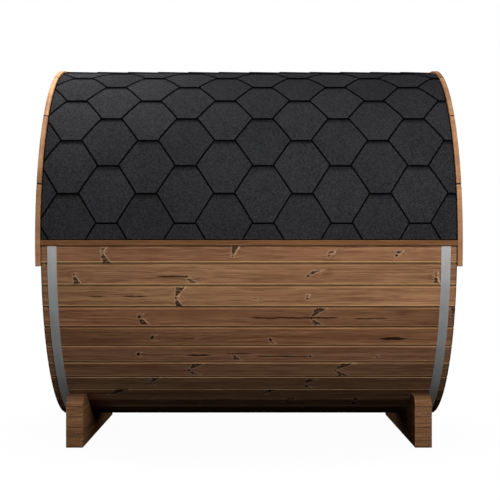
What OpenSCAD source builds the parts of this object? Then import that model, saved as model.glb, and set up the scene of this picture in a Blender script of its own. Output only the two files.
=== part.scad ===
// Barrel sauna: a wooden barrel lying on two cradles, held by two steel bands,
// with a shingled roof over its upper half and a plank door in its right end.
// The barrel's axis runs along X, its front faces -Y and the ground is at Z = 0.

/* [Barrel] */
// Outer radius of the barrel, to the edges of its staves
barrel_r = 1000; // [850:10:1200]
// Height of the barrel's underside above the ground
ground_gap = 108; // [60:1:140]
// Length of a stave
stave_l = 2142; // [1700:1:3000]
// Thickness of a stave
stave_t = 40; // [32:1:50]
// Number of staves round the barrel
stave_n = 54; // [44:2:64]
// Clear gap between two staves
stave_gap = 0.5; // [0.3:0.1:1]
// Radius of the bead along one edge of a stave, which lies in the next one's cove
bead_r = 8; // [5:0.5:10]
// Bevel along the outer edges of a stave
stave_bevel = 8; // [1:0.5:10]
// Depth of the groove near the staves' ends that holds the end walls
croze_d = 12; // [6:1:16]

/* [Cradles] */
// Length of a cradle, across the barrel
cradle_l = 1400; // [1200:10:1600]
// Thickness of a cradle, along the barrel
cradle_t = 92; // [60:1:120]
// Height of a cradle's ears
cradle_h = 276; // [240:1:320]
// Rounding of an ear's upper corner
ear_round = 60; // [20:1:90]
// Number of boards stacked in a cradle
cradle_layer_n = 5; // [3:1:7]
// Bevel along the edges of the stacked boards
cradle_bevel = 2; // [1:0.5:4]
// Gap between a cradle and the steel band outside it
cradle_band_gap = 3; // [0.5:0.5:300]

/* [Steel bands] */
// Width of a band
band_w = 48; // [30:1:60]
// Thickness of a band
band_t = 2; // [1:0.1:3]
// Distance from a band's outer edge to the staves' ends
band_inset = 34; // [25:1:60]

/* [Roof] */
// Thickness of the covering at the lower edge of a shingle course
roof_t = 12; // [8:0.5:16]
// Step from one course down to the next
lap_t = 3.5; // [2:0.5:5]
// Height of the roof's lower edge above the barrel's axis
eave_h = 6; // [5:1:60]
// Height of the first course, measured along the roof
first_course_h = 83; // [60:1:150]
// Height of every other course, measured along the roof
course_h = 156; // [120:1:200]
// Width of the ridge cap
ridge_w = 220; // [160:1:260]
// Thickness of the ridge cap
ridge_t = 3; // [2:0.5:5]

/* [Eave battens] */
// Height of the batten under the roof's lower edge
batten_h = 29; // [20:1:45]
// Thickness of the batten
batten_t = 11; // [8:1:16]
// Bevel along the batten's outer edges
batten_bevel = 2; // [1:0.5:4]

/* [End trims] */
// Depth of a trim board, measured towards the axis
trim_h = 60; // [40:1:80]
// Thickness of a trim board, along the barrel
trim_t = 25; // [18:1:35]
// How far the trim's outer edge stands above the staves
trim_rise = 20; // [18:1:30]
// Angle by which each end of the trim drops below the axis
trim_drop_a = 7.5; // [2:0.5:20]
// Number of boards in one trim
trim_n = 8; // [4:2:12]
// Gap between two trim boards
trim_gap = 7; // [1:0.5:8]
// Bevel along a trim board's outer edges
trim_bevel = 2; // [1:0.5:5]

/* [End walls] */
// Thickness of an end wall
wall_t = 42; // [30:1:46]
// Number of vertical boards across an end wall
wall_board_n = 17; // [15:2:19]
// Gap between two wall boards
wall_gap = 0.6; // [0.3:0.1:2]
// Bevel along the edges of a wall board
wall_bevel = 5; // [1:0.5:6]

/* [Door] */
// Number of wall boards that the doorway cuts
doorway_board_n = 7; // [5:2:7]
// Height of the wall over and under the doorway, at its middle
door_head_h = 140; // [120:1:250]
// Thickness of the door frame's members, across the doorway
frame_w = 45; // [30:1:60]
// Depth of the door frame, through the wall
frame_d = 50; // [42:1:54]
// Thickness of the door's boards
door_t = 38; // [28:1:45]
// Number of boards in the door
door_board_n = 6; // [4:1:8]
// Clearance between the door and its frame
door_gap = 3; // [2:0.5:5]
// Height of the ledges across the back of the door
ledge_h = 90; // [60:1:140]
// Thickness of the ledges
ledge_t = 22; // [15:1:30]
// Distance from a ledge's middle to the door's nearest end
ledge_inset = 230; // [120:5:400]
// Length of a hinge
hinge_l = 100; // [70:1:140]
// Width of one hinge plate
hinge_w = 30; // [20:1:34]
// Thickness of a hinge plate
hinge_t = 2.5; // [1.5:0.5:4]
// Radius of a hinge's knuckle
knuckle_r = 6; // [4:0.5:8]
// Length of the door's pull handle
handle_l = 420; // [250:10:600]
// Width of the handle's bar
handle_w = 34; // [24:1:45]
// Thickness of the handle's bar
handle_t = 20; // [14:1:24]
// Height of the handle's posts, the room for a hand
post_h = 26; // [22:1:28]
// Radius of a handle post
post_r = 11; // [8:0.5:12]

/* [Hidden] */
$fn = 180;

// Clearance between pieces that rest against each other
seat_gap = 0.3;
// Extra length of a cut past the face it goes through
overrun = 5;

// Where the ten groups of staves begin, counted round from the back, as shares of the whole ring
stave_group_shares = [0, 0.093, 0.185, 0.315, 0.407, 0.5, 0.593, 0.685, 0.815, 0.907, 1];

// Staves: angle of one, and the distances of its flat faces from the axis
axis_h = barrel_r + ground_gap;
stave_a = 360 / stave_n;
outer_face = barrel_r * cos(stave_a / 2);
inner_face = outer_face - stave_t;
bead_at = (inner_face + stave_t / 2) / cos(stave_a / 2);
croze_r = inner_face + croze_d;

// Bands and end walls share one plane at each end
band_x = stave_l / 2 - band_inset - band_w / 2;
band_in_r = barrel_r + seat_gap;
band_out_r = band_in_r + band_t;
wall_r = croze_r - seat_gap;
wall_in_x = band_x - wall_t / 2;
wall_board_w = 2 * wall_r / wall_board_n;

// Cradles: place of their middles, and height of one of their boards
cradle_x = band_x - band_w / 2 - cradle_band_gap - cradle_t / 2;
cradle_layer_h = cradle_h / cradle_layer_n;

// Roof: angles that the eave, the courses and half the ridge cap take
roof_in_r = barrel_r + seat_gap;
roof_out_r = barrel_r + roof_t;
eave_a = asin(eave_h / roof_out_r);
first_course_a = first_course_h / roof_out_r * 180 / PI;
course_a = course_h / roof_out_r * 180 / PI;
course_gap_a = seat_gap / roof_out_r * 180 / PI;
course_n = 1 + ceil((90 - eave_a - first_course_a) / course_a);
course_steps = 4;
ridge_in_r = roof_out_r + seat_gap;
ridge_a = ridge_w / ridge_in_r * 180 / PI;

// Trims: their radii, and the angle of one board
trim_out_r = barrel_r + trim_rise;
trim_in_r = trim_out_r - trim_h;
trim_board_a = (180 + 2 * trim_drop_a) / trim_n;
trim_gap_a = trim_gap / trim_out_r * 180 / PI;

// Door: frame inside the doorway, and the leaf inside the frame
doorway_w = doorway_board_n * wall_board_w;
doorway_h = 2 * (wall_r - door_head_h);
frame_out_w = doorway_w - 2 * seat_gap;
frame_out_h = doorway_h - 2 * seat_gap;
frame_in_w = frame_out_w - 2 * frame_w;
frame_in_h = frame_out_h - 2 * frame_w;
frame_out_x = wall_in_x + frame_d;
door_w = frame_in_w - 2 * door_gap;
door_h = frame_in_h - 2 * door_gap;
door_board_w = door_w / door_board_n;
door_in_x = frame_out_x - door_t;
hinge_y = frame_in_w / 2 - door_gap / 2;
handle_y = -(door_w / 2 - door_board_w / 2);
post_z = handle_l / 2 - handle_w;

wood_colour = "#8a6344";
pale_wood_colour = "#b98a5e";
shingle_colour = "#2f3033";
steel_colour = "#a4a8ac";

// Turns a section drawn in the YZ plane round the barrel's axis, with its depth along X
module about_axis() {
    translate([0, 0, axis_h]) rotate([90, 0, 90]) children();
}

// Mirrors what is drawn for the right end to the left end
module at_end(side) {
    mirror([0, 0, side < 0 ? 1 : 0]) children();
}

// Half the width of a stave at a given distance from the axis
function stave_half_w(x) = x * tan(stave_a / 2) - stave_gap / 2 / cos(stave_a / 2);

// Section of a stave: flat faces, bevelled outer edges, a bead on one edge and a cove on the other
module stave_section() {
    side_half_w = stave_half_w(outer_face - stave_bevel);
    top_half_w = stave_half_w(outer_face) - stave_bevel;
    difference() {
        union() {
            polygon([
                [inner_face, -stave_half_w(inner_face)],
                [outer_face - stave_bevel, -side_half_w],
                [outer_face, -top_half_w],
                [outer_face, top_half_w],
                [outer_face - stave_bevel, side_half_w],
                [inner_face, stave_half_w(inner_face)],
            ]);
            rotate(stave_a / 2) translate([bead_at, 0]) circle(bead_r);
        }
        rotate(-stave_a / 2) translate([bead_at, 0]) circle(bead_r + stave_gap);
    }
}

// One stave at its place in the ring, with the grooves for both end walls
module stave(i) {
    difference() {
        rotate((i + 1 / 2) * stave_a) linear_extrude(stave_l, center = true) stave_section();
        for (side = [-1, 1])
            translate([0, 0, side * band_x])
                cylinder(r = croze_r, h = wall_t + 2 * seat_gap, center = true);
    }
}

// One group of neighbouring staves
module staves(group) {
    first = round(stave_group_shares[group] * stave_n);
    last = round(stave_group_shares[group + 1] * stave_n) - 1;
    color(wood_colour) about_axis() for (i = [first : last]) stave(i);
}

// Rectangle about the origin with bevelled corners
module bevelled_square(w, h, bevel) {
    polygon([
        [-w / 2, -h / 2 + bevel],
        [-w / 2 + bevel, -h / 2],
        [w / 2 - bevel, -h / 2],
        [w / 2, -h / 2 + bevel],
        [w / 2, h / 2 - bevel],
        [w / 2 - bevel, h / 2],
        [-w / 2 + bevel, h / 2],
        [-w / 2, h / 2 - bevel],
    ]);
}

// Side view of a cradle: a flat foot, rounded ears and a hollow that fits the barrel
module cradle_outline() {
    shoulder_h = cradle_h - ear_round;
    difference() {
        translate([0, -axis_h]) union() {
            translate([-cradle_l / 2, 0]) square([cradle_l, shoulder_h]);
            translate([-cradle_l / 2 + ear_round, 0]) square([cradle_l - 2 * ear_round, cradle_h]);
            for (end = [-1, 1])
                translate([end * (cradle_l / 2 - ear_round), shoulder_h]) circle(ear_round);
        }
        circle(barrel_r + seat_gap);
    }
}

// One of the stacked boards of a cradle, bevelled all round and cut to the cradle's outline
module cradle_layer(j) {
    low = j * cradle_layer_h + (j == 0 ? 0 : seat_gap);
    layer_h = (j + 1) * cradle_layer_h - low;
    layer_z = low + layer_h / 2 - axis_h;
    intersection() {
        linear_extrude(cradle_t, center = true) intersection() {
            cradle_outline();
            translate([0, layer_z]) bevelled_square(cradle_l, layer_h, cradle_bevel);
        }
        translate([0, layer_z, 0]) rotate([0, 90, 0])
            linear_extrude(cradle_l + overrun, center = true)
                bevelled_square(cradle_t, layer_h, cradle_bevel);
    }
}

// Cradle of stacked boards
module cradle(side) {
    color(wood_colour) about_axis()
        translate([0, 0, side * cradle_x]) for (j = [0 : cradle_layer_n - 1]) cradle_layer(j);
}

// Steel band round the staves, over an end wall
module band(side) {
    color(steel_colour) about_axis()
        translate([0, 0, side * band_x]) difference() {
            cylinder(r = band_out_r, h = band_w, center = true);
            cylinder(r = band_in_r, h = band_w + overrun, center = true);
        }
}

// Room that the bands take under the roof and the battens
module band_relief() {
    for (side = [-1, 1])
        translate([0, 0, side * band_x])
            cylinder(r = band_out_r + seat_gap, h = band_w + 2 * seat_gap, center = true);
}

// Angle of a course's lower edge above the axis
function course_low_a(k) = eave_a + (k == 0 ? 0 : first_course_a + (k - 1) * course_a);

// Point on the roof's section, at an angle above the axis on the back side
function on_arc(r, a) = [r * cos(a), r * sin(a)];

// One course of shingles: thickest at its lower edge, thinner where the next one laps it
module roof_course(k) {
    low_a = course_low_a(k) + course_gap_a / 2;
    high_a = min(course_low_a(k + 1), 90) - course_gap_a / 2;
    step_a = (high_a - low_a) / course_steps;
    step_t = lap_t * (high_a - low_a) / course_a / course_steps;
    linear_extrude(stave_l, center = true)
        polygon(concat(
            [for (j = [0 : course_steps]) on_arc(roof_out_r - j * step_t, low_a + j * step_a)],
            [for (j = [course_steps : -1 : 0]) on_arc(roof_in_r, low_a + j * step_a)]
        ));
}

// Courses on one side of the roof, from the eave to the ridge
module roof_side(front) {
    color(shingle_colour) about_axis() mirror([front ? 1 : 0, 0, 0])
        for (k = [0 : course_n - 1]) difference() {
            roof_course(k);
            band_relief();
        }
}

// Cap along the top, over the last course of both sides
module roof_ridge() {
    color(shingle_colour) about_axis()
        rotate(90 - ridge_a / 2) translate([0, 0, -stave_l / 2]) rotate_extrude(angle = ridge_a)
            translate([ridge_in_r, 0]) square([ridge_t, stave_l]);
}

// Batten under the roof's lower edge, notched over the bands
module eave_batten(front) {
    batten_top = eave_h - seat_gap;
    batten_foot = batten_top - batten_h;
    batten_face = roof_in_r + batten_t;
    color(pale_wood_colour) about_axis() mirror([front ? 1 : 0, 0, 0])
        difference() {
            linear_extrude(stave_l, center = true) polygon([
                [roof_in_r, batten_foot],
                [batten_face - batten_bevel, batten_foot],
                [batten_face, batten_foot + batten_bevel],
                [batten_face, batten_top - batten_bevel],
                [batten_face - batten_bevel, batten_top],
                [roof_in_r, batten_top],
            ]);
            band_relief();
        }
}

// Curved boards over the staves' ends, on one quarter of an end
module trim(side, front) {
    board_a = trim_board_a - trim_gap_a;
    color(pale_wood_colour) about_axis() mirror([front ? 1 : 0, 0, 0]) at_end(side)
        translate([0, 0, stave_l / 2 + seat_gap])
            for (i = [0 : trim_n / 2 - 1])
                rotate(i * trim_board_a - trim_drop_a + trim_gap_a / 2) rotate_extrude(angle = board_a)
                    polygon([
                        [trim_in_r, 0],
                        [trim_out_r - trim_bevel, 0],
                        [trim_out_r, trim_bevel],
                        [trim_out_r, trim_t - trim_bevel],
                        [trim_out_r - trim_bevel, trim_t],
                        [trim_in_r, trim_t],
                    ]);
}

// One vertical board of an end wall from a lower to an upper height, cut to the round
module wall_board(i, low, high) {
    intersection() {
        translate([i * wall_board_w, (low + high) / 2, band_x]) rotate([90, 0, 0])
            linear_extrude(high - low, center = true)
                bevelled_square(wall_board_w - wall_gap, wall_t, wall_bevel);
        translate([0, 0, band_x]) cylinder(r = wall_r, h = wall_t + overrun, center = true);
    }
}

// Neighbouring boards of an end wall, counted from the middle one
module wall_boards(side, first, last, low, high) {
    color(wood_colour) about_axis() at_end(side)
        for (i = [first : last]) wall_board(i, low, high);
}

wall_last = (wall_board_n - 1) / 2;
doorway_last = (doorway_board_n - 1) / 2;

// Box in the right end wall, placed by its middle and its inner and outer faces
module wall_box(y, z, w, h, in_x, out_x) {
    translate([y - w / 2, z - h / 2, in_x]) cube([w, h, out_x - in_x]);
}

// Door frame: two posts between a head and a sill
module door_frame() {
    post_len = frame_in_h - 2 * seat_gap;
    color(pale_wood_colour) about_axis() for (end = [-1, 1]) {
        wall_box(0, end * (frame_out_h - frame_w) / 2, frame_out_w, frame_w, wall_in_x, frame_out_x);
        wall_box(end * (frame_out_w - frame_w) / 2, 0, frame_w, post_len, wall_in_x, frame_out_x);
    }
}

// Upright boards of the door
module door_boards() {
    half_w = (door_board_w - wall_gap) / 2;
    color(wood_colour) about_axis() for (i = [0 : door_board_n - 1])
        translate([(i + 1 / 2) * door_board_w - door_w / 2, 0, door_in_x]) rotate([90, 0, 0])
            linear_extrude(door_h, center = true) polygon([
                [-half_w, 0],
                [half_w, 0],
                [half_w, door_t - wall_bevel],
                [half_w - wall_bevel, door_t],
                [-half_w + wall_bevel, door_t],
                [-half_w, door_t - wall_bevel],
            ]);
}

// Ledges that hold the door's boards together, on its inner face
module door_ledges() {
    ledge_out_x = door_in_x - seat_gap;
    color(pale_wood_colour) about_axis() for (end = [-1, 1])
        wall_box(0, end * (door_h / 2 - ledge_inset), door_w, ledge_h, ledge_out_x - ledge_t, ledge_out_x);
}

// Butt hinges at the height of the ledges, across the joint between door and frame
module door_hinges() {
    plate_in_x = frame_out_x + seat_gap;
    color(steel_colour) about_axis() for (end = [-1, 1])
        translate([0, end * (door_h / 2 - ledge_inset), 0]) {
            wall_box(hinge_y, 0, 2 * hinge_w, hinge_l, plate_in_x, plate_in_x + hinge_t);
            translate([hinge_y, 0, plate_in_x + knuckle_r]) rotate([90, 0, 0])
                cylinder(r = knuckle_r, h = hinge_l, center = true);
        }
}

// Wooden pull handle: a bar on two round posts
module door_handle() {
    post_in_x = frame_out_x + seat_gap;
    bar_in_x = post_in_x + post_h + seat_gap;
    bar_round = handle_w / 2;
    color(pale_wood_colour) about_axis() translate([handle_y, 0, 0]) {
        for (end = [-1, 1])
            translate([0, end * post_z, post_in_x]) cylinder(r = post_r, h = post_h);
        translate([0, 0, bar_in_x]) linear_extrude(handle_t) union() {
            translate([-bar_round, -handle_l / 2 + bar_round]) square([handle_w, handle_l - handle_w]);
            for (end = [-1, 1])
                translate([0, end * (handle_l / 2 - bar_round)]) circle(bar_round);
        }
    }
}

cradle(-1);  // cradle_left
cradle(1);  // cradle_right
staves(0);  // staves_back_upper
staves(1);  // staves_back_top
staves(2);  // staves_top
staves(3);  // staves_front_top
staves(4);  // staves_front_upper
staves(5);  // staves_front
staves(6);  // staves_front_lower
staves(7);  // staves_bottom
staves(8);  // staves_back_lower
staves(9);  // staves_back
band(-1);  // band_left
band(1);  // band_right
roof_side(true);  // roof_front
roof_side(false);  // roof_back
roof_ridge();
eave_batten(true);  // eave_batten_front
eave_batten(false);  // eave_batten_back
trim(-1, true);  // trim_left_front
trim(-1, false);  // trim_left_back
trim(1, true);  // trim_right_front
trim(1, false);  // trim_right_back
wall_boards(-1, -wall_last, wall_last, -wall_r, wall_r);  // left_wall
wall_boards(1, -wall_last, -doorway_last - 1, -wall_r, wall_r);  // right_wall_front
wall_boards(1, doorway_last + 1, wall_last, -wall_r, wall_r);  // right_wall_back
wall_boards(1, -doorway_last, doorway_last, doorway_h / 2, wall_r);  // right_wall_over_door
wall_boards(1, -doorway_last, doorway_last, -wall_r, -doorway_h / 2);  // right_wall_under_door
door_frame();
door_boards();
door_ledges();
door_hinges();
door_handle();
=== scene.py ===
import math
import random

import bpy
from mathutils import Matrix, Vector


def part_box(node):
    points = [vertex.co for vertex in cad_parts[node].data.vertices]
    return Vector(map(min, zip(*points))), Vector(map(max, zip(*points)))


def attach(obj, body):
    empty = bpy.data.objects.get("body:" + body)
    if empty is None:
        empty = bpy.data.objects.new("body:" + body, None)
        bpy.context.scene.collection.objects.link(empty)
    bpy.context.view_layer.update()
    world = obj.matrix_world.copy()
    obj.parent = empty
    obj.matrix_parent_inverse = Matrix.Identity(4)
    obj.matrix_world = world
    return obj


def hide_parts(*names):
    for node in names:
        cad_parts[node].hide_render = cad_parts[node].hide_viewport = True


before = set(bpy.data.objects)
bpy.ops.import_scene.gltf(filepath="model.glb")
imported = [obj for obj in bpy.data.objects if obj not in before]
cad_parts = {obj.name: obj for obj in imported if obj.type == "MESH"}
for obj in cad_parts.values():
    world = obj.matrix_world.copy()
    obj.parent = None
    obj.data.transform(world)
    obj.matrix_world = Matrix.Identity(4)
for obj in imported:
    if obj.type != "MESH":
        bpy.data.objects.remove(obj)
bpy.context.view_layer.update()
bpy.ops.object.select_all(action="DESELECT")

# Camera: stands level in front of the middle of the barrel, a little below its axis.
# The lens is long, and the small shifts put the barrel where the photograph has it.
camera_lens, camera_sensor = 86.4, 36.0
camera_place = (0.0, -7.166, 1.0005)
camera_shift = (0.0021, 0.0242)
camera_data = bpy.data.cameras.new("photo_camera")
camera_data.sensor_width = camera_sensor
camera_data.lens = camera_lens
camera_data.shift_x, camera_data.shift_y = camera_shift
camera = bpy.data.objects.new("photo_camera", camera_data)
camera.location = camera_place
camera.rotation_euler = (math.radians(90), 0, 0)
bpy.context.scene.collection.objects.link(camera)
bpy.context.scene.camera = camera
bpy.context.scene.view_settings.view_transform = "Standard"


# Studio: a pale floor and a white surround, with a soft key lamp in front on the right,
# small ones over the roof and its left end, a weak one low in front for the light that a pale
# floor throws back, and two behind for the far side and the ends.
def put(tree, kind, feeds=None, **settings):
    """Adds one shader node with its settings; a feed is a number, a colour, a socket or a node."""
    node = tree.nodes.new("ShaderNode" + kind)
    for name, value in settings.items():
        setattr(node, name, value)
    for socket, feed in (feeds or {}).items():
        if isinstance(feed, bpy.types.Node):
            feed = feed.outputs[0]
        if isinstance(feed, bpy.types.NodeSocket):
            tree.links.new(feed, node.inputs[socket])
        else:
            node.inputs[socket].default_value = feed
    return node


def linear(hex_colour):
    """The linear colour of an sRGB hex value."""
    parts = [int(hex_colour[i : i + 2], 16) / 255 for i in (1, 3, 5)]
    return [p / 12.92 if p <= 0.04045 else ((p + 0.055) / 1.055) ** 2.4 for p in parts] + [1.0]


def seen_straight(tree):
    """One for a ray from the camera, or from a glossy or clear surface, and nought for soft light."""
    path = put(tree, "LightPath").outputs
    seen = path["Is Camera Ray"]
    for ray in ("Is Glossy Ray", "Is Transmission Ray"):
        seen = put(tree, "Math", {0: seen, 1: path[ray]}, operation="MAXIMUM")
    return seen


def bare_material(name):
    """A new material, and its node tree with nothing in it."""
    material = bpy.data.materials.new(name)
    material.use_nodes = True
    material.node_tree.nodes.clear()
    return material, material.node_tree


studio_white = "#ffffff"
studio_fill = 0.003
world = bpy.data.worlds.new("studio_surround")
world.use_nodes = True
surround = world.node_tree
surround.nodes.clear()
surround_level = put(surround, "MapRange", {
    "Value": seen_straight(surround), "To Min": studio_fill, "To Max": 1.0,
})
surround_glow = put(surround, "Background", {"Color": linear(studio_white), "Strength": surround_level})
put(surround, "OutputWorld", {"Surface": surround_glow})
bpy.context.scene.world = world

# The floor glows white where it is looked at, and a little less near the barrel, a painted shade round it,
# where the barrel's shadow then shows too; it throws back hardly any light, so that the barrel's belly
# stays dark.
floor_size = 600.0
floor_colour = "#222222"
glow_in_painted_shade, glow_far = 0.97, 1.0
shade_from, shade_to = 0.8, 2.6
bpy.ops.mesh.primitive_plane_add(size=floor_size)
floor = bpy.context.object
floor.name = "studio_floor"
floor_paint, paint = bare_material("matte_studio_paint")
paint_spot = put(paint, "TexCoord").outputs["Object"]
paint_reach = put(paint, "VectorMath", {0: paint_spot}, operation="LENGTH")
# Painted shade: the glow is dimmed the nearer the floor is to the barrel.
glow_with_painted_shade = put(paint, "MapRange", {
    "Value": paint_reach.outputs["Value"], "From Min": shade_from, "From Max": shade_to,
    "To Min": glow_in_painted_shade, "To Max": glow_far,
}, interpolation_type="SMOOTHSTEP")
paint_glow = put(paint, "Math", {0: seen_straight(paint), 1: glow_with_painted_shade}, operation="MULTIPLY")
paint_light = put(paint, "Emission", {"Color": linear(studio_white), "Strength": paint_glow})
paint_matt = put(paint, "BsdfDiffuse", {"Color": linear(floor_colour)})
paint_mix = put(paint, "AddShader", {0: paint_matt, 1: paint_light})
put(paint, "OutputMaterial", {"Surface": paint_mix})
floor.data.materials.append(floor_paint)

barrel_middle = Vector((0, 0, 1.1))
for lamp_name, lamp_place, lamp_aim, lamp_size, lamp_watts in [
    ("key_front_right", (1.1, -4.4, 2.6), Vector((0.3, -0.8, 1.0)), 1.3, 182),
    ("bounce_off_floor", (-1.9, -3.8, 0.25), Vector((0.4, -0.5, 0.3)), 1.2, 15),
    ("softbox_over_left", (-1.25, -0.6, 3.05), Vector((-1.0, -0.4, 2.0)), 0.5, 30),
    ("lamp_over_roof", (0.5, -0.1, 5.5), barrel_middle, 2.0, 85),
    ("lamp_behind_left", (-6.0, 5.6, 2.4), barrel_middle, 3.0, 520),
    ("lamp_behind_right", (6.4, 4.4, 2.2), barrel_middle, 3.0, 480),
]:
    lamp_data = bpy.data.lights.new(lamp_name, "AREA")
    lamp_data.energy = lamp_watts
    lamp_data.size = lamp_size
    lamp = bpy.data.objects.new(lamp_name, lamp_data)
    lamp.location = lamp_place
    lamp.rotation_euler = (lamp_aim - Vector(lamp_place)).to_track_quat("-Z", "Y").to_euler()
    lamp.visible_camera = False
    bpy.context.scene.collection.objects.link(lamp)


# Staves: 54 planks of heat-treated pine, planed, with a bead and a cove along their edges,
# held in a ring by the steel bands. Each stave is its own board, with its own tone and knots.
band_low, band_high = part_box("band_left")
axis_z = (band_low.z + band_high.z) / 2
stave_count = 54
stave_angle = math.radians(360 / stave_count)
stave_face = 0.9983
stave_width = 2 * stave_face * math.tan(stave_angle / 2)
stave_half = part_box("staves_front")[1].x


def piece_place(tree):
    """A point's place on its piece, by axis."""
    return put(tree, "SeparateXYZ", {0: put(tree, "TexCoord").outputs["Object"]}).outputs


def about_axis(tree, height, out):
    """A point's angle about the barrel's axis and its distance from it."""
    up = put(tree, "Math", {0: height, 1: axis_z}, operation="SUBTRACT")
    turn = put(tree, "Math", {0: up, 1: out}, operation="ARCTAN2")
    way = put(tree, "CombineXYZ", {0: up, 1: out})
    return turn, put(tree, "VectorMath", {0: way}, operation="LENGTH").outputs["Value"]


def in_board(tree, count, width):
    """A point's place across its board, from the middle, and the board's number."""
    share = put(tree, "Math", {0: count}, operation="FRACT")
    across = put(tree, "MapRange", {"Value": share, "To Min": -width / 2, "To Max": width / 2})
    return across, put(tree, "Math", {0: count}, operation="FLOOR")


def shaded(tree, steps):
    """How dark a surface is by several measures at once. Each step is a measure, the two values
    that it runs between, and the share of its light that the surface keeps at each of them."""
    kept = 1.0
    for measure, start, end, kept_before, kept_after in steps:
        step = put(tree, "MapRange", {
            "Value": measure, "From Min": start, "From Max": end,
            "To Min": kept_before, "To Max": kept_after,
        })
        kept = put(tree, "Math", {0: kept, 1: step}, operation="MULTIPLY")
    return kept


def layered(tree, colour, layers):
    """A colour with other colours laid over it, each by its own share."""
    for share, over in layers:
        mixed = put(tree, "Mix", {"Factor": share, "A": colour, "B": linear(over)}, data_type="RGBA")
        colour = mixed.outputs["Result"]
    return colour


def dress(finish, *node_names):
    """Gives the named pieces their finish."""
    for node_name in node_names:
        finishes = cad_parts[node_name].data.materials
        finishes.clear()
        finishes.append(finish)


def on_stave(tree):
    """Place along a stave, across it and in from its face, and the stave's number."""
    spot = piece_place(tree)
    out = put(tree, "Math", {0: spot["Y"], 1: -1.0}, operation="MULTIPLY")
    turn, reach = about_axis(tree, spot["Z"], out)
    count = put(tree, "Math", {0: turn, 1: stave_angle}, operation="DIVIDE")
    across, number = in_board(tree, count, stave_width)
    depth = put(tree, "Math", {0: stave_face, 1: reach}, operation="SUBTRACT")
    return spot["X"], across, depth, number


def stave_painted_shade(tree):
    """How dark a stave is: a painted shade near the ground under the barrel's belly, a little paler just
    above it, and a painted shadow of the trims at its ends.
    """
    shade_darkest_top, shade_clear_from = 0.15, 0.2
    paler_band_top, paler_band_end, paler_band = 0.307, 0.312, 1.07
    trim_shadow_width, trim_shadow_blur = 0.005, 0.001
    trim_shadow_from = stave_half - trim_shadow_width
    spot = piece_place(tree)
    span = put(tree, "Math", {0: spot["X"]}, operation="ABSOLUTE")
    # Painted shade near the ground and painted shadow next to the trims; the band above the shade is only
    # paler.
    return shaded(tree, [
        (spot["Z"], shade_darkest_top, shade_clear_from, 0.35, paler_band),
        (spot["Z"], paler_band_top, paler_band_end, 1.0, 1 / paler_band),
        (span, trim_shadow_from - trim_shadow_blur, trim_shadow_from + trim_shadow_blur, 1.0, 0.4),
    ])


def chance_knots(tree, along, across, number, luck, whorl_gap):
    """Knots by chance, one in each length of a board: the way to it and its lean, the reach of
    its wedges up and down and its eye, and the length and half the width of its crack."""
    crack_thick, start_spread = 0.002, 9.0
    # The place in its length, the place across, the lean, the wedges, the eye and the cracks:
    # the throw from which each shows, and its least and greatest size.
    ranges = [
        (0.0, 0.25, 0.75), (0.0, -0.03, 0.03), (0.0, -0.5, 1.3), (0.4, 0.0, 0.06),
        (0.4, 0.0, 0.06), (0.15, -0.002, 0.008), (0.6, 0.0, 0.22), (0.6, 0.0, 0.22),
    ]
    lengths = put(tree, "Math", {0: along, 1: whorl_gap}, operation="DIVIDE")
    started = put(tree, "Math", {0: luck, 1: start_spread, 2: lengths}, operation="MULTIPLY_ADD")
    cell = put(tree, "Math", {0: started}, operation="FLOOR")
    in_cell = put(tree, "Math", {0: started}, operation="FRACT")
    cell_spot = put(tree, "CombineXYZ", {0: cell, 1: number})
    throws = []
    for shift in ((0, 0, 0), (31.7, 12.9, 0), (57.3, 4.1, 0)):
        shifted = put(tree, "VectorMath", {0: cell_spot, 1: shift}, operation="ADD")
        thrown = put(tree, "TexWhiteNoise", {"Vector": shifted}, noise_dimensions="2D")
        throws.extend(put(tree, "SeparateColor", {0: thrown.outputs["Color"]}).outputs)
    at, up_at, lean, up, down, eye, left, right = [
        put(tree, "MapRange", {"Value": throw, "From Min": start, "To Min": least, "To Max": most})
        for throw, (start, least, most) in zip(throws, ranges)
    ]
    past = put(tree, "Math", {0: in_cell, 1: at}, operation="SUBTRACT")
    off_along = put(tree, "Math", {0: past, 1: whorl_gap}, operation="MULTIPLY")
    off_across = put(tree, "Math", {0: across, 1: up_at}, operation="SUBTRACT")
    return (
        put(tree, "CombineXYZ", {0: off_along, 1: off_across, 2: lean}),
        put(tree, "CombineXYZ", {0: up, 1: down, 2: eye}),
        put(tree, "CombineXYZ", {0: left, 1: right, 2: crack_thick}),
    )


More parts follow.
